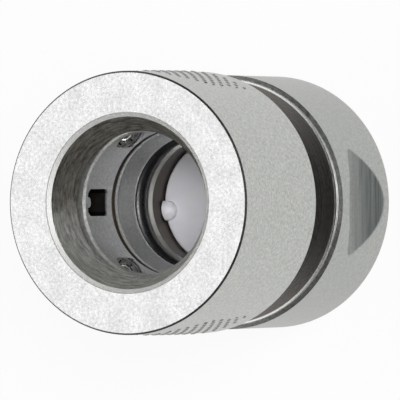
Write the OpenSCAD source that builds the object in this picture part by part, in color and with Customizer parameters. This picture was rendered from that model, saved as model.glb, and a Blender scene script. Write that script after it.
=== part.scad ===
// Socket half of a push-in liquid quick coupling with a ball lock and an automatic shut-off valve.
// It stands on its threaded rear face, with the mouth upwards and the two wrench flats facing -Y and +Y.
// Turned profiles are lists of [radius, depth], where depth is measured from the mouth face downwards.

/* [Sleeve] */
// Length of the whole coupling, from the mouth face to the rear face
length = 45; // [43:0.5:60]
// Outside diameter of the sleeve at its front
sleeve_d = 34; // [33.6:0.1:36]
// Length of the sleeve
sleeve_len = 21.1; // [20.4:0.1:22.6]
// How much the sleeve's radius grows towards its rear edge
sleeve_flare = 0.12; // [0:0.01:0.2]
// Wall of the sleeve round its spring
sleeve_wall = 1.5; // [1.2:0.05:1.6]
// Chamfer on the sleeve's outer front edge
front_chamfer = 0.22; // [0.1:0.02:0.4]
// Chamfer on the sleeve's outer rear edge
rear_chamfer = 0.3; // [0.1:0.05:0.5]
// Diameter of the mouth's cone just behind its chamfer
mouth_d = 22.2; // [21:0.1:22.6]
// Width of the polished chamfer round the mouth
mouth_chamfer = 0.5; // [0.3:0.02:0.8]
// Depth of the chamfer round the mouth
mouth_chamfer_depth = 0.45; // [0.2:0.05:0.8]
// Diameter of the throat, the narrow end of the mouth's cone
throat_d = 18.6; // [18:0.1:19]
// Depth of the lip behind the mouth face
lip_len = 4.2; // [3.6:0.1:4.6]
// Distance that the sleeve is pulled back to let the plug go
sleeve_travel = 2.5; // [2:0.1:2.8]
// Length of the land that holds the balls in
land_len = 1.6; // [1:0.1:2]
// Thickness of the ring that keeps the sleeve on
snap_ring_t = 0.75; // [0.6:0.05:0.9]
// Radial width of the ring that keeps the sleeve on
snap_ring_w = 1.25; // [1:0.05:1.4]
// Depth of that ring's groove into the sleeve
snap_groove = 0.7; // [0.5:0.05:0.9]
// Part of the sleeve behind that ring's groove
snap_lip = 0.6; // [0.4:0.05:0.8]

/* [Socket body] */
// Diameter of the cage's bore, which takes the plug
cage_bore_d = 19.2; // [19:0.1:19.8]
// Wall of the cage
cage_wall = 3.85; // [3.6:0.05:4.1]
// Chamfer round the front of the cage's bore
cage_chamfer = 0.3; // [0.2:0.05:0.9]
// Number of balls, with a window in the cage between each two
ball_count = 3; // [3]
// Diameter of a locking ball
ball_d = 5; // [4.6:0.1:5.2]
// Depth of the balls' centres behind the mouth face
ball_depth = 10.8; // [10.6:0.1:11.4]
// How far a locked ball stands into the bore
ball_reach = 1.03; // [0.8:0.01:1.1]
// Half angle of the seat that stops a ball from dropping into the bore
ball_seat_angle = 30; // [25:1:35]
// Length of a window, along the coupling
window_len = 5.6; // [4:0.1:6]
// Width of a window
window_w = 3.5; // [2.5:0.1:4]
// Corner cut on a window
window_corner = 0.5; // [0.2:0.05:0.8]
// Width of the small lug on a window's front edge
lug_w = 1.4; // [1:0.1:1.8]
// Length of the small lug on a window's front edge
lug_len = 0.9; // [0.4:0.05:1.2]
// Thickness of the flange that guides the sleeve and seats its spring
flange_t = 0.8; // [0.6:0.05:1.2]
// Diameter of the neck behind the flange
neck_d = 28.8; // [28:0.1:29.4]
// Depth at which the neck starts to widen
neck_end = 26.8; // [25:0.1:28]
// Diameter of the polished rim behind the neck
rim_d = 32.4; // [31.4:0.1:33]
// Depth of the polished rim behind the mouth face
rim_depth = 29.3; // [28.8:0.1:30]
// Thickness of the rim's edge
rim_t = 0.3; // [0.2:0.05:0.6]
// Distance of the relief groove's front in front of the insert bore's shoulder
relief_back = 2.6; // [2.2:0.1:2.8]
// Width of the relief groove
relief_w = 1.2; // [0.6:0.05:1.3]
// Width of the narrow land behind the relief groove
relief_land = 0.6; // [0.3:0.05:0.8]
// Radial depth of the relief groove
relief_cut = 0.5; // [0.3:0.05:0.8]

/* [Plug seal and valve seat] */
// Diameter of the bore behind the cage, which holds the seal and the valve seat
insert_bore_d = 21.2; // [21:0.1:21.6]
// Depth of the shoulder that the seal's retainer lies against
insert_depth = 17.5; // [17.2:0.1:17.9]
// Length of the seal's retainer
retainer_len = 2.8; // [2.6:0.1:3.2]
// Diameter of the retainer's cone at its front
retainer_d = 19.7; // [19.2:0.1:20.2]
// Diameter of the retainer's narrow rear end
retainer_bore_d = 17.6; // [17.2:0.1:18]
// Length of the straight part behind the retainer's cone
retainer_land = 0.3; // [0.2:0.05:0.6]
// Thickness of the O-ring that seals on the plug
plug_seal_t = 2.25; // [2:0.05:2.25]
// Length of the space that the plug's O-ring lies in
plug_seal_space = 3.75; // [3.4:0.05:3.9]
// Depth of that O-ring's middle behind the retainer
plug_seal_at = 2.1; // [1.4:0.1:2.3]
// Diameter of the valve seat's bore, which guides the plug's nose
nose_bore_d = 16.6; // [16.2:0.1:16.8]
// Length of the bore that guides the plug's nose
nose_bore_len = 2.25; // [2:0.05:2.5]
// Chamfer at the front of that bore
nose_chamfer = 0.4; // [0.1:0.05:0.5]
// Wider clearance bore round the closed valve
valve_bore_d = 17; // [17:0.05:17.2]
// Length of the valve seat's rear part, behind the start of its cone
seat_tail = 2; // [1.8:0.1:2.4]
// Thickness of the O-ring round the valve seat
seat_ring_t = 1.1; // [0.9:0.05:1.2]
// Depth of that O-ring behind the front of the valve seat
seat_ring_at = 3.4; // [2.6:0.1:4]

/* [Valve] */
// Gap between the nose bore's end and the tips of the closed valve's nubs
nub_gap = 0.1; // [0.05:0.05:0.4]
// Distance that the plug pushes the valve open
valve_travel = 2.5; // [2:0.1:2.6]
// Radial clearance round the valve's front disc
disc_gap = 0.1; // [0.08:0.01:0.3]
// Thickness of the valve's front disc
disc_t = 0.65; // [0.5:0.05:0.8]
// Thickness of the valve's O-ring
valve_ring_t = 1.5; // [1.3:0.05:1.6]
// Thickness of the valve's rear flange
valve_flange_t = 0.85; // [0.6:0.05:1]
// Diameter of the valve's rear flange
valve_flange_d = 18.6; // [18:0.1:18.8]
// Thickness of the valve's face wall
valve_face_t = 1; // [0.9:0.05:1.2]
// Outside diameter of the valve's guide tube
tube_d = 6; // [5.6:0.1:6.4]
// Length of the guide tube behind the valve's flange
tube_len = 1.9; // [1.6:0.1:2]
// Diameter of the fixed post in the guide tube
post_d = 4; // [3.6:0.1:4.2]
// Diameter of a nub on the valve's face
nub_d = 2.6; // [2:0.1:2.8]
// Height of a nub on the valve's face
nub_h = 1.5; // [1:0.1:1.6]
// Number of nubs on the valve's face
nub_count = 3; // [3:1:4]
// Distance of a nub's centre inside the disc's edge
nub_set_in = 0.55; // [0.4:0.05:1.2]
// Turn of the nubs away from the wrench flat
nub_turn = 8; // [0:1:20]
// Number of scallops that let the liquid past the valve's flange
scallop_count = 6; // [4:1:6]
// Thickness of the guide's outer ring
guide_t = 0.9; // [0.7:0.05:1]
// Radial width of the ledge that the guide's outer ring lies on
guide_ledge = 0.6; // [0.4:0.05:0.8]
// Thickness of the guide's arms and hub
arm_t = 0.9; // [0.8:0.05:1]
// Width of one of the guide's arms
arm_w = 2.2; // [1.6:0.1:2.8]
// Number of arms in the guide
arm_count = 3; // [3:1:4]
// Thickness of the ring that keeps the guide in
clip_t = 0.75; // [0.6:0.05:0.8]

/* [Rear body] */
// Wall of the rear body outside its thread
body_wall = 3.53; // [3.3:0.01:4]
// Chamfer on the rear body's front edge
body_chamfer = 0.45; // [0.2:0.05:0.6]
// Chamfer on the rear body's rear edge
body_rear_chamfer = 0.35; // [0.2:0.05:0.6]
// Major diameter of the G 3/4 thread
thread_d = 26.44; // [26.2:0.02:26.6]
// Thickness of the flat gasket in the thread
gasket_t = 1.5; // [1:0.1:1.6]
// Width of the relief groove that holds the gasket
gasket_groove = 1.9; // [1.9:0.1:2.2]
// Chamfer at the thread's mouth
thread_chamfer = 0.8; // [0.5:0.05:1]
// Depth at which a wrench flat runs out towards the rear
flat_end = 43.5; // [42:0.1:44]
// Depth of the middle of a wrench flat's round front end
flat_start = 35.4; // [34.8:0.1:36]
// Slope of a wrench flat against the coupling's axis
flat_angle = 11.4; // [8:0.2:12]
// Length of a wrench flat's round front end
flat_lead = 3.6; // [3:0.1:4]
// Thickness of the O-ring between the two bodies
joint_ring_t = 1.35; // [1.2:0.05:1.4]

/* [Springs] */
// Wire of the sleeve's spring
sleeve_wire = 0.8; // [0.6:0.05:0.85]
// Turns of the sleeve's spring
sleeve_turns = 3.25; // [2.5:0.25:3.5]
// Wire of the valve's spring
valve_wire = 0.8; // [0.6:0.05:0.85]
// Turns of the valve's spring
valve_turns = 4.5; // [3.5:0.25:4.75]
// Mean diameter of the valve's spring
valve_spring_d = 8.9; // [8.4:0.1:9.2]

/* [Clearances] */
// Radial running clearance between sliding fits
fit_gap = 0.05; // [0.02:0.01:0.08]
// Clearance at the end of a travel
end_gap = 0.2; // [0.1:0.05:0.3]
// Clearance between a ball and the surfaces that hold it
ball_gap = 0.06; // [0.03:0.01:0.08]
// Clearance between the closed valve and its seat
seat_gap = 0.08; // [0.04:0.01:0.1]
// Clearance round pieces that are pressed or laid in place
press_gap = 0.03; // [0.01:0.01:0.05]
// Clearance between the throat and a plug that slides through
plug_gap = 0.15; // [0.1:0.01:0.2]

/* [Hidden] */
$fn = 96;

PLATED = [0.66, 0.67, 0.65];
BRIGHT = [0.9, 0.9, 0.9];
BRASS = [0.45, 0.4, 0.32];
RUBBER = [0.08, 0.08, 0.08];
WHITE_PLASTIC = [0.88, 0.87, 0.9];
STEEL = [0.7, 0.7, 0.72];
HALF_TURN = 180;
OVER = 1;

// Cage, balls and the cam that presses on them
cage_bore_r = cage_bore_d / 2;
cage_r = cage_bore_r + cage_wall;
cage_front = lip_len + sleeve_travel + end_gap + 0.1;
ball_r = ball_d / 2;
ball_circle_r = cage_bore_r - ball_reach + ball_r;
ball_lift = throat_d / 2 + plug_gap - (cage_bore_r - ball_reach);
ball_out_r = ball_circle_r + ball_lift + ball_r;
cam_slope = ball_lift / sleeve_travel;
cam_r_at_ball = ball_circle_r + (ball_r + ball_gap) / cos(atan(cam_slope));
land_r = cage_r + fit_gap;
land_front = ball_depth + (cam_r_at_ball - land_r) / cam_slope;
land_rear = land_front + land_len;
recess_r = ball_out_r + end_gap + 0.15;
cam_front = land_front - (recess_r - land_r) / cam_slope;

// Sleeve, its spring chamber and its retaining ring
sleeve_r = sleeve_d / 2;
chamber_r = sleeve_r - sleeve_wall;
snap_rear = sleeve_len - snap_lip;
snap_front = snap_rear - snap_ring_t - press_gap;
flange_rear = snap_front - end_gap / 2;
flange_front = flange_rear - flange_t;
flange_r = chamber_r - fit_gap;

// Insert bore, plug seal and valve seat
insert_bore_r = insert_bore_d / 2;
insert_r = insert_bore_r - press_gap;
retainer_end = insert_depth + retainer_len;
seat_front = retainer_end + plug_seal_space;
nose_bore_end = seat_front + nose_chamfer + nose_bore_len;
valve_face = nose_bore_end + nub_gap + nub_h;
valve_ring_r = valve_ring_t / 2;
valve_groove_w = valve_ring_t + 0.1;
valve_ring_depth = valve_face + disc_t + valve_groove_w / 2;
disc_r = valve_bore_d / 2 - disc_gap;
valve_groove_r = valve_bore_d / 2 - 1.6;
valve_ring_circle_r = valve_groove_r + press_gap + valve_ring_r;
seat_cone = valve_ring_depth + valve_bore_d / 2 - valve_ring_circle_r - (valve_ring_r + seat_gap) * sqrt(2);
seat_end = seat_cone + seat_tail;
seat_cone_r = insert_r - 0.5;

// Valve, its guide and the ring that keeps the guide in
valve_flange_front = valve_face + disc_t + valve_groove_w;
valve_flange_rear = valve_flange_front + valve_flange_t;
tube_end = valve_flange_rear + tube_len;
post_tip = valve_face + valve_face_t + end_gap + valve_travel + end_gap;
guide_front = valve_flange_rear + valve_travel + end_gap + 0.1;
guide_floor = tube_end + valve_travel + end_gap;
guide_end = guide_floor + arm_t;
clip_front = guide_front + guide_t + press_gap;
clip_rear = clip_front + clip_t + press_gap;
clip_inner_r = insert_bore_r - 0.5;
guide_r = insert_bore_r + guide_ledge;
clip_outer_r = guide_r + 0.7;
tail_end = clip_rear + 0.35;
cup_r = clip_inner_r - 0.3;
cup_wall = 0.9;

// Rear body
joint_depth = rim_depth + rim_t;
thread_r = thread_d / 2;
body_r = thread_r + body_wall;
tail_r = thread_r - fit_gap;
joint_ring_r = joint_ring_t / 2;
joint_bore_r = tail_r + joint_ring_t + 2 * press_gap;
gasket_end = tail_end + gasket_t;
gasket_groove_front = gasket_end - gasket_groove + 0.2;
gasket_groove_r = thread_r + 0.4;

// A turned piece: its profile is a closed list of [radius, depth]
module turned(profile) {
    rotate_extrude(convexity = 8) polygon([for (p = profile) [p[0], length - p[1]]]);
}

// A round ring, such as an O-ring
module torus(circle_r, ring_r, depth) {
    translate([0, 0, length - depth]) rotate_extrude(convexity = 4) translate([circle_r, 0]) circle(r = ring_r, $fn = 48);
}

// An open ring of flat wire, with its gap centred on -Y
module open_ring(inner_r, outer_r, depth, t, gap_angle) {
    translate([0, 0, length - depth - t])
        rotate([0, 0, -HALF_TURN / 2 + gap_angle / 2])
            rotate_extrude(angle = 2 * HALF_TURN - gap_angle, convexity = 4)
                translate([inner_r, 0]) square([outer_r - inner_r, t]);
}

// Height of a spring's wire after a turns, closed at both ends and open between them
function coil_height(a, turns, rise, wire) =
    let (closed = 0.75, lift = wire * 1.04, open = turns - 2 * closed)
    a < closed ? a * lift
    : a > turns - closed ? rise - (turns - a) * lift
    : closed * lift + (a - closed) / open * (rise - 2 * closed * lift);

// A round-wire coil spring that fills the depths from first to last
module coil_spring(circle_r, wire, turns, first, last) {
    sides = 8;
    steps = 20;
    rings = floor(turns * steps);
    rise = last - first - wire;
    points = [
        for (i = [0:rings]) let (a = i / steps) for (k = [0:sides - 1])
            let (b = k * 2 * HALF_TURN / sides, r = circle_r + wire / 2 * cos(b))
            [r * cos(a * 2 * HALF_TURN), r * sin(a * 2 * HALF_TURN),
             length - last + wire / 2 + coil_height(a, rings / steps, rise, wire) + wire / 2 * sin(b)]
    ];
    walls = [
        for (i = [0:rings - 1]) for (k = [0:sides - 1])
            let (p = i * sides + k, q = i * sides + (k + 1) % sides)
            each [[p, p + sides, q + sides], [p, q + sides, q]]
    ];
    caps = [[for (k = [0:sides - 1]) k], [for (k = [sides - 1:-1:0]) rings * sides + k]];
    polyhedron(points, concat(walls, caps), convexity = 8);
}

// Sleeve that is pulled back to let the plug go
module sleeve() {
    rear_r = sleeve_r + sleeve_flare;
    color(PLATED) turned([
        [mouth_d / 2 + mouth_chamfer, 0], [sleeve_r - front_chamfer, 0], [sleeve_r, front_chamfer],
        [rear_r, sleeve_len - rear_chamfer], [rear_r - rear_chamfer, sleeve_len],
        [chamber_r, sleeve_len], [chamber_r, snap_rear], [chamber_r + snap_groove, snap_rear],
        [chamber_r + snap_groove, snap_front], [chamber_r, snap_front], [chamber_r, land_rear],
        [land_r, land_rear], [land_r, land_front], [recess_r, cam_front], [recess_r, lip_len],
        [throat_d / 2, lip_len], [mouth_d / 2, mouth_chamfer_depth]
    ]);
}

module sleeve_retaining_ring() {
    outer_r = chamber_r + snap_groove - press_gap;
    color(STEEL) open_ring(outer_r - snap_ring_w, outer_r, snap_front + press_gap / 2, snap_ring_t, 14);
}

module sleeve_spring() {
    circle_r = (land_r + chamber_r) / 2;
    color(STEEL) coil_spring(circle_r, sleeve_wire, sleeve_turns, land_rear + press_gap, flange_front - press_gap);
}

// Seat and bore of one ball, along +X at the balls' height
module ball_hole() {
    hole_r = ball_r + fit_gap;
    cone_r = (ball_r + ball_gap) / cos(ball_seat_angle);
    cone_end = ball_circle_r - (cone_r - hole_r) / tan(ball_seat_angle);
    cone_start = cage_bore_r - 2 * OVER;
    start_r = cone_r - (ball_circle_r - cone_start) * tan(ball_seat_angle);
    translate([cone_start, 0, length - ball_depth]) rotate([0, HALF_TURN / 2, 0])
        cylinder(r1 = start_r, r2 = hole_r, h = cone_end - cone_start);
    translate([cone_end - 0.01, 0, length - ball_depth]) rotate([0, HALF_TURN / 2, 0])
        cylinder(r = hole_r, h = cage_r + OVER - cone_end);
}

// Window in the cage, along +X, with a small lug left on its front edge
module window() {
    long = window_len / 2;
    wide = window_w / 2;
    translate([cage_bore_r - OVER, 0, length - ball_depth]) rotate([0, HALF_TURN / 2, 0])
        linear_extrude(cage_wall + 2 * OVER) difference() {
            polygon([
                [-long, wide - window_corner], [-long + window_corner, wide], [long - window_corner, wide],
                [long, wide - window_corner], [long, -wide + window_corner], [long - window_corner, -wide],
                [-long + window_corner, -wide], [-long, -wide + window_corner]
            ]);
            translate([-long + lug_len - lug_w / 2, 0]) circle(d = lug_w);
            translate([-long - OVER, -lug_w / 2]) square([OVER + lug_len - lug_w / 2, lug_w]);
        }
}

// Front body: ball cage, neck, rim and threaded tail
module socket_body() {
    relief_r = cage_bore_r + relief_cut;
    relief_front = insert_depth - relief_back;
    relief_end = relief_front + relief_w;
    land_end = relief_end + relief_land;
    color(PLATED) difference() {
        turned([
            [cage_bore_r + cage_chamfer, cage_front], [cage_r - 0.3, cage_front], [cage_r, cage_front + 0.3],
            [cage_r, flange_front], [flange_r, flange_front], [flange_r, flange_rear],
            [neck_d / 2, flange_rear], [neck_d / 2, neck_end], [rim_d / 2, rim_depth],
            [rim_d / 2, joint_depth - 0.15], [rim_d / 2 - 0.15, joint_depth], [tail_r, joint_depth],
            [tail_r, tail_end - 0.4], [tail_r - 0.4, tail_end], [guide_r + fit_gap, tail_end],
            [guide_r + fit_gap, clip_rear], [clip_outer_r, clip_rear], [clip_outer_r, clip_front],
            [guide_r + fit_gap, clip_front], [guide_r + fit_gap, guide_front],
            [insert_bore_r, guide_front], [insert_bore_r, insert_depth],
            [relief_r, insert_depth], [relief_r, land_end], [cage_bore_r, land_end], [cage_bore_r, relief_end],
            [relief_r, relief_end], [relief_r, relief_front], [cage_bore_r, relief_front],
            [cage_bore_r, cage_front + cage_chamfer]
        ]);
        for (i = [0:ball_count - 1]) {
            rotate([0, 0, ball_angle(i)]) ball_hole();
            rotate([0, 0, ball_angle(i + 0.5)]) window();
        }
    }
}

// Direction of a ball about the axis; the first one is at -Y
function ball_angle(i) = -HALF_TURN / 2 + i * 2 * HALF_TURN / ball_count;

module ball(i) {
    color(BRIGHT) rotate([0, 0, ball_angle(i)]) translate([ball_circle_r, 0, length - ball_depth]) sphere(r = ball_r);
}

module ball_1() { ball(0); }
module ball_2() { ball(1); }
module ball_3() { ball(2); }

// Coned ring in front of the plug's O-ring
module seal_retainer() {
    color(PLATED) turned([
        [retainer_d / 2, insert_depth + press_gap], [insert_r, insert_depth + press_gap],
        [insert_r, retainer_end], [retainer_bore_d / 2, retainer_end],
        [retainer_bore_d / 2, retainer_end - retainer_land]
    ]);
}

module plug_oring() {
    circle_r = insert_bore_r - press_gap - plug_seal_t / 2;
    color(RUBBER) torus(circle_r, plug_seal_t / 2, retainer_end + plug_seal_at);
}

// Brass insert: it guides the plug's nose, and the valve closes on the cone at its rear
module valve_seat() {
    nose_r = nose_bore_d / 2;
    bore_r = valve_bore_d / 2;
    groove_r = insert_r - seat_ring_t;
    groove_front = seat_front + seat_ring_at - seat_ring_t * 0.6;
    groove_rear = seat_front + seat_ring_at + seat_ring_t * 0.6;
    color(BRASS) turned([
        [nose_r + nose_chamfer, seat_front], [insert_r, seat_front], [insert_r, groove_front],
        [groove_r, groove_front], [groove_r, groove_rear], [insert_r, groove_rear], [insert_r, seat_end],
        [seat_cone_r, seat_end], [seat_cone_r, seat_cone + seat_cone_r - bore_r], [bore_r, seat_cone],
        [bore_r, nose_bore_end + bore_r - nose_r], [nose_r, nose_bore_end], [nose_r, seat_front + nose_chamfer]
    ]);
}

module seat_oring() {
    ring_r = seat_ring_t / 2 - press_gap / 2;
    color(RUBBER) torus(insert_r - seat_ring_t / 2, ring_r, seat_front + seat_ring_at);
}

// Valve: a disc with nubs, a groove for its O-ring, a scalloped flange and a guide tube
module valve_poppet() {
    pocket_r = valve_spring_d / 2 + valve_wire / 2 + 0.6;
    bore_r = post_d / 2 + fit_gap;
    flange_r = valve_flange_d / 2;
    back = valve_face + valve_face_t;
    color(WHITE_PLASTIC) difference() {
        union() {
            turned([
                [0, valve_face], [disc_r - 0.2, valve_face], [disc_r, valve_face + 0.2],
                [disc_r, valve_face + disc_t], [valve_groove_r, valve_face + disc_t],
                [valve_groove_r, valve_flange_front], [flange_r, valve_flange_front],
                [flange_r, valve_flange_rear], [pocket_r, valve_flange_rear], [pocket_r, back],
                [tube_d / 2, back], [tube_d / 2, tube_end], [bore_r, tube_end],
                [bore_r, back + end_gap], [0, back + end_gap]
            ]);
            for (i = [0:nub_count - 1]) rotate([0, 0, HALF_TURN / 2 + nub_turn + i * 2 * HALF_TURN / nub_count]) nub();
        }
        for (i = [0:scallop_count - 1])
            rotate([0, 0, (i + 0.5) * 2 * HALF_TURN / scallop_count])
                translate([flange_r + 0.6, 0, length - valve_flange_rear - OVER])
                    cylinder(r = 2, h = valve_flange_t + OVER + 0.01);
    }
}

// Rounded nub on the valve's face, along +X, cut clear of the nose bore
module nub() {
    nub_r = nub_d / 2;
    shank = nub_h - 0.6;
    intersection() {
        translate([disc_r - nub_set_in, 0, length - valve_face]) {
            translate([0, 0, -disc_t / 2]) cylinder(r = nub_r, h = shank + disc_t / 2);
            translate([0, 0, shank]) intersection() {
                translate([0, 0, 0.6 - dome_r(nub_r, 0.6)]) sphere(r = dome_r(nub_r, 0.6));
                translate([-nub_r, -nub_r, -0.01]) cube([2 * nub_r, 2 * nub_r, OVER]);
            }
        }
        translate([0, 0, length - valve_face - disc_t])
            cylinder(r = nose_bore_d / 2 - disc_gap, h = nub_h + disc_t + OVER);
    }
}

// Radius of the sphere whose cap has this foot and height
function dome_r(foot, height) = (foot * foot + height * height) / (2 * height);

module poppet_oring() {
    color(RUBBER) torus(valve_ring_circle_r, valve_ring_r, valve_ring_depth);
}

module poppet_spring() {
    color(STEEL) coil_spring(valve_spring_d / 2, valve_wire, valve_turns,
        valve_face + valve_face_t + press_gap, guide_floor - press_gap);
}

// Guide behind the valve: a ring, a cup with arms and the post in the valve's tube
module valve_guide() {
    wall_r = cup_r - cup_wall;
    hub_r = valve_spring_d / 2 + valve_wire;
    color(WHITE_PLASTIC) {
        turned([
            [wall_r, guide_front], [guide_r, guide_front], [guide_r, guide_front + guide_t],
            [cup_r, guide_front + guide_t], [cup_r, guide_end], [wall_r, guide_end]
        ]);
        turned([
            [0, post_tip], [post_d / 2 - 0.3, post_tip], [post_d / 2, post_tip + 0.3],
            [post_d / 2, guide_floor], [hub_r, guide_floor], [hub_r, guide_end], [0, guide_end]
        ]);
        for (i = [0:arm_count - 1])
            rotate([0, 0, HALF_TURN / 2 + i * 2 * HALF_TURN / arm_count])
                translate([hub_r - OVER, -arm_w / 2, length - guide_end])
                    cube([wall_r - hub_r + OVER + cup_wall / 2, arm_w, arm_t]);
    }
}

module guide_retaining_ring() {
    color(STEEL) open_ring(clip_inner_r, clip_outer_r - press_gap, clip_front + press_gap / 2, clip_t, 24);
}

// Side profile of one wrench flat's cut, as [depth, distance from the axis]
module flat_cut() {
    low = body_r - (flat_end - flat_start) * tan(flat_angle);
    steps = 8;
    lead = [
        for (i = [0:steps]) let (t = i / steps)
            [flat_start - flat_lead * (1 - t), body_r - (body_r - low) * (1 - cos(HALF_TURN * t)) / 2]
    ];
    rotate([HALF_TURN / 2, 0, HALF_TURN / 2])
        linear_extrude(2 * body_r, center = true)
            polygon([for (p = concat(lead, [
                [length + OVER, low + (length + OVER - flat_start) * tan(flat_angle)],
                [length + OVER, body_r + 2 * OVER], [lead[0][0], body_r + 2 * OVER]
            ])) [p[1], length - p[0]]]);
}

// Rear body: threaded for the pipe, with two wrench flats
module rear_body() {
    color(PLATED) difference() {
        turned([
            [joint_bore_r, joint_depth], [body_r - body_chamfer, joint_depth],
            [body_r, joint_depth + body_chamfer], [body_r, length - body_rear_chamfer],
            [body_r - body_rear_chamfer, length], [thread_r + thread_chamfer, length],
            [thread_r, length - thread_chamfer], [thread_r, gasket_end + 0.2],
            [gasket_groove_r, gasket_end + 0.2], [gasket_groove_r, gasket_groove_front],
            [thread_r, gasket_groove_front], [thread_r, joint_depth + joint_ring_t + 0.1],
            [joint_bore_r, joint_depth + joint_ring_t + 0.1]
        ]);
        for (side = [0, HALF_TURN]) rotate([0, 0, side]) flat_cut();
    }
}

module body_joint_oring() {
    color(RUBBER) torus(tail_r + press_gap + joint_ring_r, joint_ring_r, joint_depth + joint_ring_r + 0.05);
}

module thread_gasket() {
    inner_r = cup_r + 0.2;
    outer_r = thread_r - 0.1;
    color(RUBBER) turned([
        [inner_r, tail_end], [outer_r, tail_end], [outer_r, gasket_end], [inner_r, gasket_end]
    ]);
}

sleeve();
sleeve_retaining_ring();
sleeve_spring();
socket_body();
ball_1();
ball_2();
ball_3();
seal_retainer();
plug_oring();
valve_seat();
seat_oring();
valve_poppet();
poppet_oring();
poppet_spring();
valve_guide();
guide_retaining_ring();
rear_body();
body_joint_oring();
thread_gasket();
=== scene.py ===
import math
import bpy
import bmesh
from mathutils import Matrix, Vector

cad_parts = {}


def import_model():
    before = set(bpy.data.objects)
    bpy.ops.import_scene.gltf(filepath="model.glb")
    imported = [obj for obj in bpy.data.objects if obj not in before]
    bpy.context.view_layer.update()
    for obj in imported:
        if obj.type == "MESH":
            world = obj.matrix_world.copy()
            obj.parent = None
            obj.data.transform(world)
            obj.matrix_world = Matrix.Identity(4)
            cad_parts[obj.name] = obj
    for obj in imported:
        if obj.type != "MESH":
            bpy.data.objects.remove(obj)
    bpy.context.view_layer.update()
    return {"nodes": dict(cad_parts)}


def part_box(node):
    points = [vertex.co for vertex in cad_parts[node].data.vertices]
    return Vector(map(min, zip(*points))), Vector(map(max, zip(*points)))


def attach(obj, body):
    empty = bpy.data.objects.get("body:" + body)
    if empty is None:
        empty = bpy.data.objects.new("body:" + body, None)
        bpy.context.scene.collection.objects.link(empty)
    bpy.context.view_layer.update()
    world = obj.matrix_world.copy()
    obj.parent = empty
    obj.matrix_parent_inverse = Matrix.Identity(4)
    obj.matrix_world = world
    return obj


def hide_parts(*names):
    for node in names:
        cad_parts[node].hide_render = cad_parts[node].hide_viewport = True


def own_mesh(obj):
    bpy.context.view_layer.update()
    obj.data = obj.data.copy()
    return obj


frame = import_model()

MM = 0.001
NODES = frame["nodes"]
MOUTH_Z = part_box("sleeve")[1][2]
SLEEVE_FOOT_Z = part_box("sleeve")[0][2]
SLEEVE_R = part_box("sleeve")[1][0]
FLARE = 0.12 * MM         # growth of the sleeve's radius from its foot to the mouth
GRAIN = 2600              # scale of the tumbled grain on all plated pieces


def below(depth):
    """Height of a place that lies depth millimetres under the mouth face."""
    return MOUTH_Z - depth * MM


# ---------------------------------------------------------------- materials

class Finish:
    """A node material with short calls for its nodes."""

    def __init__(self, name, color, metallic=0.0, roughness=0.5):
        self.material = bpy.data.materials.new(name)
        self.material.use_nodes = True
        self.tree = self.material.node_tree
        self.shader = self.tree.nodes["Principled BSDF"]
        self.shader.inputs["Base Color"].default_value = (*color, 1)
        self.shader.inputs["Metallic"].default_value = metallic
        self.shader.inputs["Roughness"].default_value = roughness
        self.place = self.node("ShaderNodeTexCoord").outputs["Object"]
        self.bumps = []

    def node(self, kind, **settings):
        made = self.tree.nodes.new(kind)
        for key, value in settings.items():
            setattr(made, key, value)
        return made

    def link(self, source, target):
        self.tree.links.new(source, target)

    def math(self, operation, a, b=0.0):
        made = self.node("ShaderNodeMath", operation=operation)
        for socket, value in zip(made.inputs, (a, b)):
            if isinstance(value, (int, float)):
                socket.default_value = value
            else:
                self.link(value, socket)
        return made.outputs[0]

    def stretched(self, scale):
        made = self.node("ShaderNodeMapping")
        made.inputs["Scale"].default_value = scale
        self.link(self.place, made.inputs["Vector"])
        return made.outputs["Vector"]

    def polar(self):
        """Object coordinates as (angle, radius, height) about the coupling's axis."""
        split = self.node("ShaderNodeSeparateXYZ")
        self.link(self.place, split.inputs[0])
        x, y, z = split.outputs
        angle = self.math("ARCTAN2", y, x)
        squares = self.math("ADD", self.math("MULTIPLY", x, x), self.math("MULTIPLY", y, y))
        radius = self.math("SQRT", squares)
        return angle, radius, z

    def noise(self, vector, scale, detail=3.0, roughness=0.5):
        made = self.node("ShaderNodeTexNoise")
        self.link(vector, made.inputs["Vector"])
        made.inputs["Scale"].default_value = scale
        made.inputs["Detail"].default_value = detail
        made.inputs["Roughness"].default_value = roughness
        return made.outputs["Fac"]

    def ramp(self, value, low, high, low_out=0.0, high_out=1.0):
        made = self.node("ShaderNodeMapRange", clamp=True)
        self.link(value, made.inputs["Value"])
        for key, number in (("From Min", low), ("From Max", high), ("To Min", low_out), ("To Max", high_out)):
            made.inputs[key].default_value = number
        return made.outputs["Result"]

    def mix_color(self, factor, a, b):
        made = self.node("ShaderNodeMix", data_type="RGBA")
        self.link(factor, made.inputs["Factor"])
        for socket, value in ((made.inputs[6], a), (made.inputs[7], b)):
            if isinstance(value, tuple):
                socket.default_value = (*value, 1)
            else:
                self.link(value, socket)
        return made.outputs[2]

    def bump(self, height, strength, distance):
        made = self.node("ShaderNodeBump")
        made.inputs["Strength"].default_value = strength
        made.inputs["Distance"].default_value = distance
        self.link(height, made.inputs["Height"])
        if self.bumps:
            self.link(self.bumps[-1], made.inputs["Normal"])
        self.bumps.append(made.outputs["Normal"])

    def color(self, output):
        self.link(output, self.shader.inputs["Base Color"])

    def rough(self, output):
        self.link(output, self.shader.inputs["Roughness"])

    def done(self):
        if self.bumps:
            self.link(self.bumps[-1], self.shader.inputs["Normal"])
        return self.material


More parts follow.
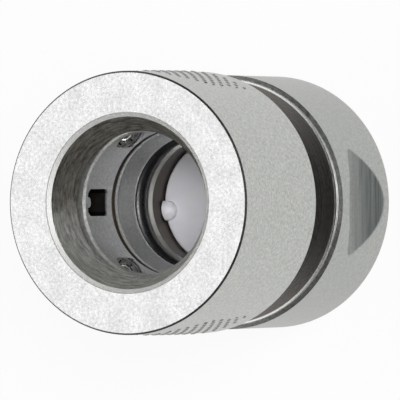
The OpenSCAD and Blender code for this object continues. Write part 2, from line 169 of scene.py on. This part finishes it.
def plated_finish(name, color, roughness, grain=0.3, mottle=0.12):
    """Nickel plate with a fine tumbled grain and faint cloudy patches."""
    f = Finish(name, color, metallic=1.0, roughness=roughness)
    fine = f.noise(f.place, GRAIN, 5, 0.65)
    clouds = f.noise(f.place, GRAIN, 3, 0.8)
    f.tint = f.mix_color(f.ramp(clouds, 0.35, 0.65), tuple(c * (1 - mottle) for c in color),
                         tuple(min(1, c * (1 + mottle / 2)) for c in color))
    f.fine_rough = f.ramp(fine, 0.3, 0.7, roughness - 0.06, roughness + 0.1)
    f.bump(fine, grain, 0.00004)
    return f


def lathe_streaks(f, scale, twist, detail, roughness):
    """Noise drawn out round the axis; a small twist makes long streaks."""
    angle, radius, z = f.polar()
    rings = f.node("ShaderNodeCombineXYZ")
    f.link(radius, rings.inputs[0])
    f.link(z, rings.inputs[1])
    f.link(f.math("MULTIPLY", angle, twist), rings.inputs[2])
    return f.noise(rings.outputs[0], scale, detail, roughness)


def turning_marks(f, lines, strength):
    """Fine rings left by a lathe, as bump; lines is their number to a metre."""
    f.bump(lathe_streaks(f, lines, 0.0, 3, 0.6), strength, 0.00003)


def both(f, first, second):
    """The share that two masks have in common."""
    return f.math("MULTIPLY", first, second)


def between(f, value, low, high, soft=0.00003):
    """One where value lies between low and high, and nought outside."""
    return both(f, f.ramp(value, low - soft, low + soft), f.ramp(value, high + soft, high - soft))


def sleeve_finish():
    """Satin tumbled side, bright turned front face, mouth chamfer painted as a highlight with a thin painted
    shade line beyond, outer chamfer painted dark as a painted reflection, turned cone with painted shade
    above and painted light below, and painted shade in the chamber behind.
    """
    f = plated_finish("plated_sleeve", (0.56, 0.57, 0.545), 0.36, grain=0.35, mottle=0.3)
    _, radius, z = f.polar()
    inside = both(f, f.ramp(radius, 11.25 * MM, 11.15 * MM), f.ramp(z, below(0.40), below(0.46)))
    face = f.ramp(z, below(0.06), below(0.01))
    hollow_shade = both(f, f.ramp(radius, 15.62 * MM, 15.55 * MM), f.ramp(z, below(4.1), below(4.3)))
    edge = both(f, f.ramp(radius, 16.74 * MM, 16.79 * MM), f.ramp(z, below(0.30), below(0.2)))
    specks = lathe_streaks(f, GRAIN, 0.0022, 4, 0.75)
    blotches = f.noise(f.place, 330, 4, 0.6)
    brown = f.mix_color(f.ramp(specks, 0.35, 0.62), (0.11, 0.10, 0.085), (0.46, 0.44, 0.40))
    grey = f.mix_color(f.ramp(specks, 0.3, 0.65), (0.45, 0.44, 0.42), (1.0, 1.0, 0.97))
    split = f.node("ShaderNodeSeparateXYZ")
    f.link(f.place, split.inputs[0])
    # Painted shade and light: the cone is painted dark brown on its upper side and near white on its lower
    # side; only the turned specks are its own.
    cone_shade_side = f.math("ADD", split.outputs[0], f.math("MULTIPLY", f.math("SUBTRACT", blotches, 0.5), 0.006))
    cone = f.mix_color(f.ramp(cone_shade_side, -2.6 * MM, 0.4 * MM), grey, brown)
    tone = f.mix_color(inside, f.tint, cone)
    sheen = f.mix_color(f.ramp(blotches, 0.35, 0.65), (0.50, 0.50, 0.505), (0.58, 0.58, 0.58))
    tone = f.mix_color(face, tone, sheen)
    # Painted reflection: the outer chamfer is painted dark all round.
    tone = f.mix_color(edge, tone, (0.16, 0.16, 0.155))
    lip_highlight = both(f, f.ramp(radius, 11.64 * MM, 11.58 * MM), f.ramp(radius, 11.06 * MM, 11.12 * MM))
    lip_highlight = both(f, lip_highlight, f.ramp(z, below(0.47), below(0.43)))
    # Painted highlight: the mouth chamfer is painted near white.
    tone = f.mix_color(lip_highlight, tone, (1.0, 1.0, 0.98))
    # Painted shade: a thin dark line just outside the mouth chamfer.
    tone = f.mix_color(between(f, radius, 11.6 * MM, 11.7 * MM), tone, (0.2, 0.19, 0.18))
    # Painted shade: the chamber inside the sleeve behind the mouth is painted near black.
    tone = f.mix_color(hollow_shade, tone, (0.02, 0.018, 0.016))
    f.color(tone)
    coarser = f.ramp(f.math("MAXIMUM", inside, lip_highlight), 0, 1, 1.0, 1.5)
    f.rough(f.math("MULTIPLY", f.fine_rough, coarser))
    f.link(f.math("SUBTRACT", 1.0, f.math("MULTIPLY", lip_highlight, 0.4)), f.shader.inputs["Metallic"])
    turning_marks(f, 9000, 0.12)
    return f.done()


def grip_finish():
    """Plate on the knurl: plain plate on the points, painted shade in the valleys."""
    f = plated_finish("plated_grip", (0.6, 0.61, 0.59), 0.36)
    _, radius, z = f.polar()
    taper = FLARE / (MOUTH_Z - SLEEVE_FOOT_Z)
    lost = f.math("MULTIPLY", f.math("SUBTRACT", z, SLEEVE_FOOT_Z), taper)
    height = f.math("SUBTRACT", radius, f.math("SUBTRACT", SLEEVE_R, lost))
    # Painted shade: the valleys between the ridges are painted dark.
    f.color(f.mix_color(f.ramp(height, -0.02 * MM, 0.2 * MM), (0.1, 0.1, 0.095), f.tint))
    f.rough(f.fine_rough)
    return f.done()


def rear_finish():
    """Satin plate; the wrench flats are brushed across and painted darker as painted shade."""
    f = plated_finish("plated_rear", (0.46, 0.47, 0.45), 0.36, grain=0.3, mottle=0.25)
    _, radius, z = f.polar()
    body_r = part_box("rear_body")[1][0]
    off_round = f.ramp(radius, body_r - 0.03 * MM, body_r - 0.12 * MM)
    flat = both(f, off_round, f.ramp(radius, 14.4 * MM, 14.7 * MM))
    flat = both(f, flat, f.ramp(z, 1.0 * MM, 1.1 * MM))
    flat = both(f, flat, f.ramp(z, below(31.8), below(39.5)))
    brush = f.noise(f.stretched((90, 2600, 2600)), 1, 4, 0.65)
    # Painted shade: the wrench flats are painted darker; only the brushed streaks are their own.
    shaded_flat_tone = f.mix_color(f.ramp(brush, 0.3, 0.7), (0.09, 0.1, 0.095), (0.2, 0.215, 0.21))
    tone = f.mix_color(flat, f.tint, shaded_flat_tone)
    bore = f.ramp(radius, 14.4 * MM, 14.1 * MM)
    f.color(f.mix_color(bore, tone, (0.4, 0.36, 0.27)))
    f.rough(f.fine_rough)
    f.bump(brush, 0.12, 0.00004)
    return f.done()


def body_finish():
    """Cage with a turned bore, painted shade in the ball holes and the relief cut, and the polished cone
    painted dark as a painted reflection, ending in a painted highlight at its outer edge.
    """
    f = plated_finish("plated_body", (0.86, 0.87, 0.85), 0.42, grain=0.2, mottle=0.2)
    _, radius, z = f.polar()
    neck = both(f, f.ramp(z, below(20), below(21)), f.ramp(radius, 13.6 * MM, 13.9 * MM))
    rim_highlight = both(f, neck, f.ramp(radius, 15.95 * MM, 16.05 * MM))
    hole_wall_shade = both(f, f.ramp(radius, 9.75 * MM, 9.95 * MM), f.ramp(radius, 13.4 * MM, 13.3 * MM))
    hole_wall_shade = both(f, hole_wall_shade, between(f, z, below(13.7), below(7.9)))
    # Painted shade: the sides of the holes through the cage are painted near black.
    plate = f.mix_color(hole_wall_shade, f.tint, (0.05, 0.045, 0.04))
    # Painted reflection: the polished neck cone is painted dark.
    tone = f.mix_color(neck, plate, (0.17, 0.16, 0.15))
    # Painted highlight: a bright line on the outer edge of the neck cone.
    tone = f.mix_color(rim_highlight, tone, (0.9, 0.9, 0.88))
    groove_shade = both(f, f.ramp(radius, 9.66 * MM, 9.75 * MM), f.ramp(radius, 10.3 * MM, 10.2 * MM))
    groove_shade = both(f, groove_shade, between(f, z, below(17.6), below(14.8)))
    # Painted shadow: the relief cut at the back of the bore is painted dark brown.
    f.color(f.mix_color(groove_shade, tone, (0.13, 0.11, 0.085)))
    f.rough(f.math("MULTIPLY", f.fine_rough, f.ramp(neck, 0, 1, 1.0, 0.5)))
    turning_marks(f, 7000, 0.3)
    return f.done()


def ring_finish():
    """Light turned plate."""
    f = plated_finish("plated_ring", (0.93, 0.95, 0.94), 0.42, grain=0.15)
    f.color(f.tint)
    f.rough(f.fine_rough)
    turning_marks(f, 6000, 0.35)
    return f.done()


def seat_finish():
    """Brown brass painted much darker as painted shade, with a painted highlight on the front edge."""
    # Brown of bare brass, painted much darker as painted shade.
    f = plated_finish("bare_brass", (0.075, 0.06, 0.05), 0.34, grain=0.2)
    _, _, z = f.polar()
    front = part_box("valve_seat")[1][2]
    edge = f.ramp(z, front - 0.45 * MM, front - 0.38 * MM)
    # Painted highlight: the front chamfer is painted light.
    f.color(f.mix_color(edge, f.tint, (0.7, 0.69, 0.66)))
    f.rough(f.fine_rough)
    turning_marks(f, 5000, 0.3)
    return f.done()


def rubber_finish(name, color, roughness):
    """Moulded rubber with a faint skin."""
    f = Finish(name, color, roughness=roughness)
    fine = f.noise(f.place, 1800, 3)
    f.rough(f.ramp(fine, 0.3, 0.7, roughness - 0.05, roughness + 0.1))
    f.bump(fine, 0.1, 0.00003)
    return f.done()


def plastic_finish(name, color):
    """Milky plastic that lets a little light in."""
    f = Finish(name, color, roughness=0.38)
    f.shader.inputs["Subsurface Weight"].default_value = 0.3
    f.shader.inputs["Subsurface Radius"].default_value = (1.0, 0.9, 1.0)
    f.shader.inputs["Subsurface Scale"].default_value = 0.0015
    clouds = f.noise(f.place, 300, 3)
    f.color(f.mix_color(f.ramp(clouds, 0.3, 0.7), tuple(c * 0.96 for c in color), color))
    fine = f.noise(f.place, 500, 3)
    f.rough(f.ramp(fine, 0.3, 0.7, 0.32, 0.45))
    f.bump(fine, 0.05, 0.00005)
    return f.done()


def steel_finish(name, color, roughness):
    """Smooth steel for the balls, springs and rings."""
    f = Finish(name, color, metallic=1.0, roughness=roughness)
    fine = f.noise(f.place, 1500, 3)
    f.rough(f.ramp(fine, 0.3, 0.7, roughness - 0.03, roughness + 0.05))
    f.bump(fine, 0.03, 0.00003)
    return f.done()


def dress(node, material):
    """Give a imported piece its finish."""
    mesh = NODES[node].data
    mesh.materials.clear()
    mesh.materials.append(material)


SATIN = sleeve_finish()
GRIP = grip_finish()
INNER = body_finish()
REAR = rear_finish()
RING = ring_finish()
BRASS = seat_finish()
BALL = steel_finish("ball_steel", (0.75, 0.75, 0.74), 0.12)
STEEL = steel_finish("spring_steel", (0.55, 0.55, 0.54), 0.3)
RUBBER = rubber_finish("seal_rubber", (0.004, 0.004, 0.005), 0.3)
GASKET = rubber_finish("gasket_rubber", (0.02, 0.02, 0.02), 0.6)
WHITE = plastic_finish("white_plastic", (0.88, 0.87, 0.93))
GUIDE = plastic_finish("guide_plastic", (0.75, 0.75, 0.78))

for node, material in {
    "sleeve": SATIN, "socket_body": INNER, "rear_body": REAR, "seal_retainer": RING, "valve_seat": BRASS,
    "ball_1": BALL, "ball_2": BALL, "ball_3": BALL, "sleeve_spring": STEEL, "poppet_spring": STEEL,
    "sleeve_retaining_ring": STEEL, "guide_retaining_ring": STEEL, "plug_oring": RUBBER,
    "seat_oring": RUBBER, "poppet_oring": RUBBER, "body_joint_oring": RUBBER, "thread_gasket": GASKET,
    "valve_poppet": WHITE, "valve_guide": GUIDE,
}.items():
    dress(node, material)


# ---------------------------------------------------------------- new pieces

TURN = 2 * math.pi


def piece_from(bm, name, material, body):
    """Finish a mesh as a piece that rides on a body."""
    bmesh.ops.recalc_face_normals(bm, faces=bm.faces)
    mesh = bpy.data.meshes.new(name)
    bm.to_mesh(mesh)
    bm.free()
    mesh.materials.append(material)
    made = bpy.data.objects.new(name, mesh)
    bpy.context.scene.collection.objects.link(made)
    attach(made, body)
    return made


def swept(bm, geom, stages):
    """Sweep a section round the axis; each stage is (turns, rise, steps to a turn)."""
    for turns, rise, steps in stages:
        count = max(1, round(turns * steps))
        made = bmesh.ops.spin(bm, geom=geom, cent=(0, 0, 0), axis=(0, 0, 1), dvec=(0, 0, rise / count),
                              angle=turns * TURN, steps=count, use_duplicate=False)
        geom = made["geom_last"]


def coil(name, node, radius, wire, turns):
    """Round-wire spring with closed ends that stands between the same faces as the node."""
    low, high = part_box(node)[0][2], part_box(node)[1][2]
    closed = 0.75
    lift = wire * 1.04 * closed
    bm = bmesh.new()
    stand = Matrix.Translation((radius, 0, low + wire / 2)) @ Matrix.Rotation(math.pi / 2, 4, "X")
    bmesh.ops.create_circle(bm, cap_ends=True, segments=14, radius=wire / 2, matrix=stand)
    rise = high - low - wire - 2 * lift
    swept(bm, bm.verts[:] + bm.edges[:] + bm.faces[:],
          [(closed, lift, 48), (turns - 2 * closed, rise, 48), (closed, lift, 48)])
    made = piece_from(bm, name, STEEL, "body")
    for face in made.data.polygons:
        face.use_smooth = True
    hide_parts(node)
    return made


def pipe_thread():
    """Ridges of the G 3/4 thread inside the rear body."""
    pitch, root, crest = 1.814 * MM, 13.24 * MM, 12.1 * MM
    low, high = 1.1 * MM, 7.0 * MM
    bm = bmesh.new()
    section = [(root, 0.0), (crest, 0.42), (crest, 0.58), (root, 1.0)]
    corners = [bm.verts.new((r, 0, low + share * pitch * 0.94)) for r, share in section]
    bm.faces.new(corners)
    turns = (high - low - pitch) / pitch
    swept(bm, bm.verts[:] + bm.edges[:] + bm.faces[:], [(turns, turns * pitch, 96)])
    piece_from(bm, "pipe_thread_ridges", REAR, "body")


# Edge of a knurled zone, in mm: half its width at each depth under the mouth face
ZONE_EDGE = ((5.2, 4.6), (7.9, 10.0), (9.0, 17.6))


def grip_pad(name, side):
    """Diamond knurl on one side of the sleeve, in a zone that widens towards the rear."""
    half_w, half_l, rows = 0.8 * MM, 1.1 * MM, 24
    middle, ridge_h, skin, proud = 11 * MM, 0.34 * MM, 0.15 * MM, 0.16 * MM
    bm = bmesh.new()
    bmesh.ops.create_grid(bm, x_segments=rows, y_segments=rows, size=rows / 2)
    bmesh.ops.poke(bm, faces=bm.faces[:], offset=0.0)
    for vert in bm.verts:
        peak = abs(vert.co.x - round(vert.co.x)) > 0.25
        i, j = vert.co.x, vert.co.y
        vert.co = Vector(((i - j) * half_w, (i + j) * half_l + middle, ridge_h if peak else 0.0))
    cuts = [((0, ZONE_EDGE[0][1] * MM, 0), (0, -1, 0)), ((0, ZONE_EDGE[-1][1] * MM, 0), (0, 1, 0))]
    for mirror in (1, -1):
        for start, end in zip(ZONE_EDGE, ZONE_EDGE[1:]):
            across = Vector((end[1] - start[1], -(end[0] - start[0]), 0)).normalized()
            cuts.append(((mirror * start[0] * MM, start[1] * MM, 0), (mirror * across.x, across.y, 0)))
    for place, normal in cuts:
        bmesh.ops.bisect_plane(bm, geom=bm.verts[:] + bm.edges[:] + bm.faces[:], plane_co=place,
                               plane_no=normal, clear_outer=True)
    bmesh.ops.solidify(bm, geom=bm.faces[:], thickness=skin)
    sink = max(v.co.z for v in bm.verts) - proud
    for vert in bm.verts:
        depth = vert.co.y
        grown = SLEEVE_R - (1 - depth / (MOUTH_Z - SLEEVE_FOOT_Z)) * FLARE
        angle = vert.co.x / grown
        radius = grown + vert.co.z - sink
        vert.co = Vector((side * radius * math.cos(angle), radius * math.sin(angle), MOUTH_Z - depth))
    piece_from(bm, name, GRIP, "pull_sleeve")


grip_pad("grip_knurl_left", 1)
grip_pad("grip_knurl_right", -1)
pipe_thread()

sleeve_coil = coil("sleeve_spring_wire", "sleeve_spring", 14.5 * MM, 0.8 * MM, 3.25)
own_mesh(sleeve_coil)
valve_coil = coil("poppet_spring_wire", "poppet_spring", 4.45 * MM, 0.8 * MM, 4.5)
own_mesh(valve_coil)


# ---------------------------------------------------------------- stage, light and camera

CAMERA_PLACE = Vector((3.07, -454.2, 967.5)) * MM
CAMERA_AIM = Vector((0.37, -8.5, 41.0)) * MM
CAMERA_LENS = 720


def floor():
    """White ground that keeps the shadow and shows white to the camera and in the metal."""
    bm = bmesh.new()
    bmesh.ops.create_grid(bm, x_segments=1, y_segments=1, size=4)
    mesh = bpy.data.meshes.new("floor")
    bm.to_mesh(mesh)
    bm.free()
    plane = bpy.data.objects.new("floor", mesh)
    bpy.context.scene.collection.objects.link(plane)
    f = Finish("floor_white", (0.9, 0.9, 0.9), roughness=0.9)
    glow = f.node("ShaderNodeEmission")
    glow.inputs["Strength"].default_value = 1.0
    path = f.node("ShaderNodeLightPath")
    blend = f.node("ShaderNodeMixShader")
    camera_share = f.math("MULTIPLY", path.outputs["Is Camera Ray"], 0.92)
    gloss_share = f.math("MULTIPLY", path.outputs["Is Glossy Ray"], 0.8)
    seen = f.math("ADD", camera_share, gloss_share)
    f.link(seen, blend.inputs[0])
    f.link(f.shader.outputs[0], blend.inputs[1])
    f.link(glow.outputs[0], blend.inputs[2])
    f.link(blend.outputs[0], f.tree.nodes["Material Output"].inputs["Surface"])
    mesh.materials.append(f.done())


def world():
    """Soft studio: even all round, dim towards the front, white where the camera sees it."""
    made = bpy.data.worlds.new("studio")
    made.use_nodes = True
    tree = made.node_tree
    back = tree.nodes["Background"]
    place = tree.nodes.new("ShaderNodeTexCoord")
    split = tree.nodes.new("ShaderNodeSeparateXYZ")
    height = tree.nodes.new("ShaderNodeMapRange")
    for key, number in (("From Min", 0.2), ("From Max", 0.85), ("To Min", 0.95), ("To Max", 1.0)):
        height.inputs[key].default_value = number
    front = tree.nodes.new("ShaderNodeMapRange")
    for key, number in (("From Min", -0.9), ("From Max", -0.55), ("To Min", 0.12), ("To Max", 1.0)):
        front.inputs[key].default_value = number
    fade = tree.nodes.new("ShaderNodeMath")
    fade.operation = "MULTIPLY"
    tree.links.new(split.outputs[1], front.inputs["Value"])
    tree.links.new(height.outputs["Result"], fade.inputs[0])
    tree.links.new(front.outputs["Result"], fade.inputs[1])
    plain = tree.nodes.new("ShaderNodeBackground")
    path = tree.nodes.new("ShaderNodeLightPath")
    blend = tree.nodes.new("ShaderNodeMixShader")
    tree.links.new(place.outputs["Generated"], split.inputs[0])
    tree.links.new(split.outputs[2], height.inputs["Value"])
    tree.links.new(fade.outputs[0], back.inputs["Strength"])
    tree.links.new(path.outputs["Is Camera Ray"], blend.inputs[0])
    tree.links.new(back.outputs[0], blend.inputs[1])
    tree.links.new(plain.outputs[0], blend.inputs[2])
    tree.links.new(blend.outputs[0], tree.nodes["World Output"].inputs["Surface"])
    bpy.context.scene.world = made


def lamp(name, place, aim, size, power):
    data = bpy.data.lights.new(name, "AREA")
    data.shape = "RECTANGLE"
    data.size, data.size_y = size
    data.energy = power
    made = bpy.data.objects.new(name, data)
    made.location = place
    made.rotation_euler = (Vector(aim) - Vector(place)).to_track_quat("-Z", "Y").to_euler()
    bpy.context.scene.collection.objects.link(made)


def camera():
    data = bpy.data.cameras.new("camera")
    data.lens = CAMERA_LENS
    data.sensor_width = 36
    data.clip_end = 20
    made = bpy.data.objects.new("camera", data)
    ahead = (CAMERA_AIM - CAMERA_PLACE).normalized()
    right = ahead.cross(Vector((1, 0, 0))).normalized()
    up = right.cross(ahead)
    turn = Matrix((right, up, -ahead)).transposed().to_4x4()
    made.matrix_world = Matrix.Translation(CAMERA_PLACE) @ turn
    bpy.context.scene.collection.objects.link(made)
    bpy.context.scene.camera = made


floor()
world()
camera()
lamp("overhead", (0.0, 0.5, 1.05), (0, 0, 0.04), (0.7, 0.7), 3.6)
lamp("fill", (0.1, -0.47, 0.97), (0, 0, 0.03), (0.4, 0.4), 8.0)
bpy.context.scene.view_settings.view_transform = "Standard"
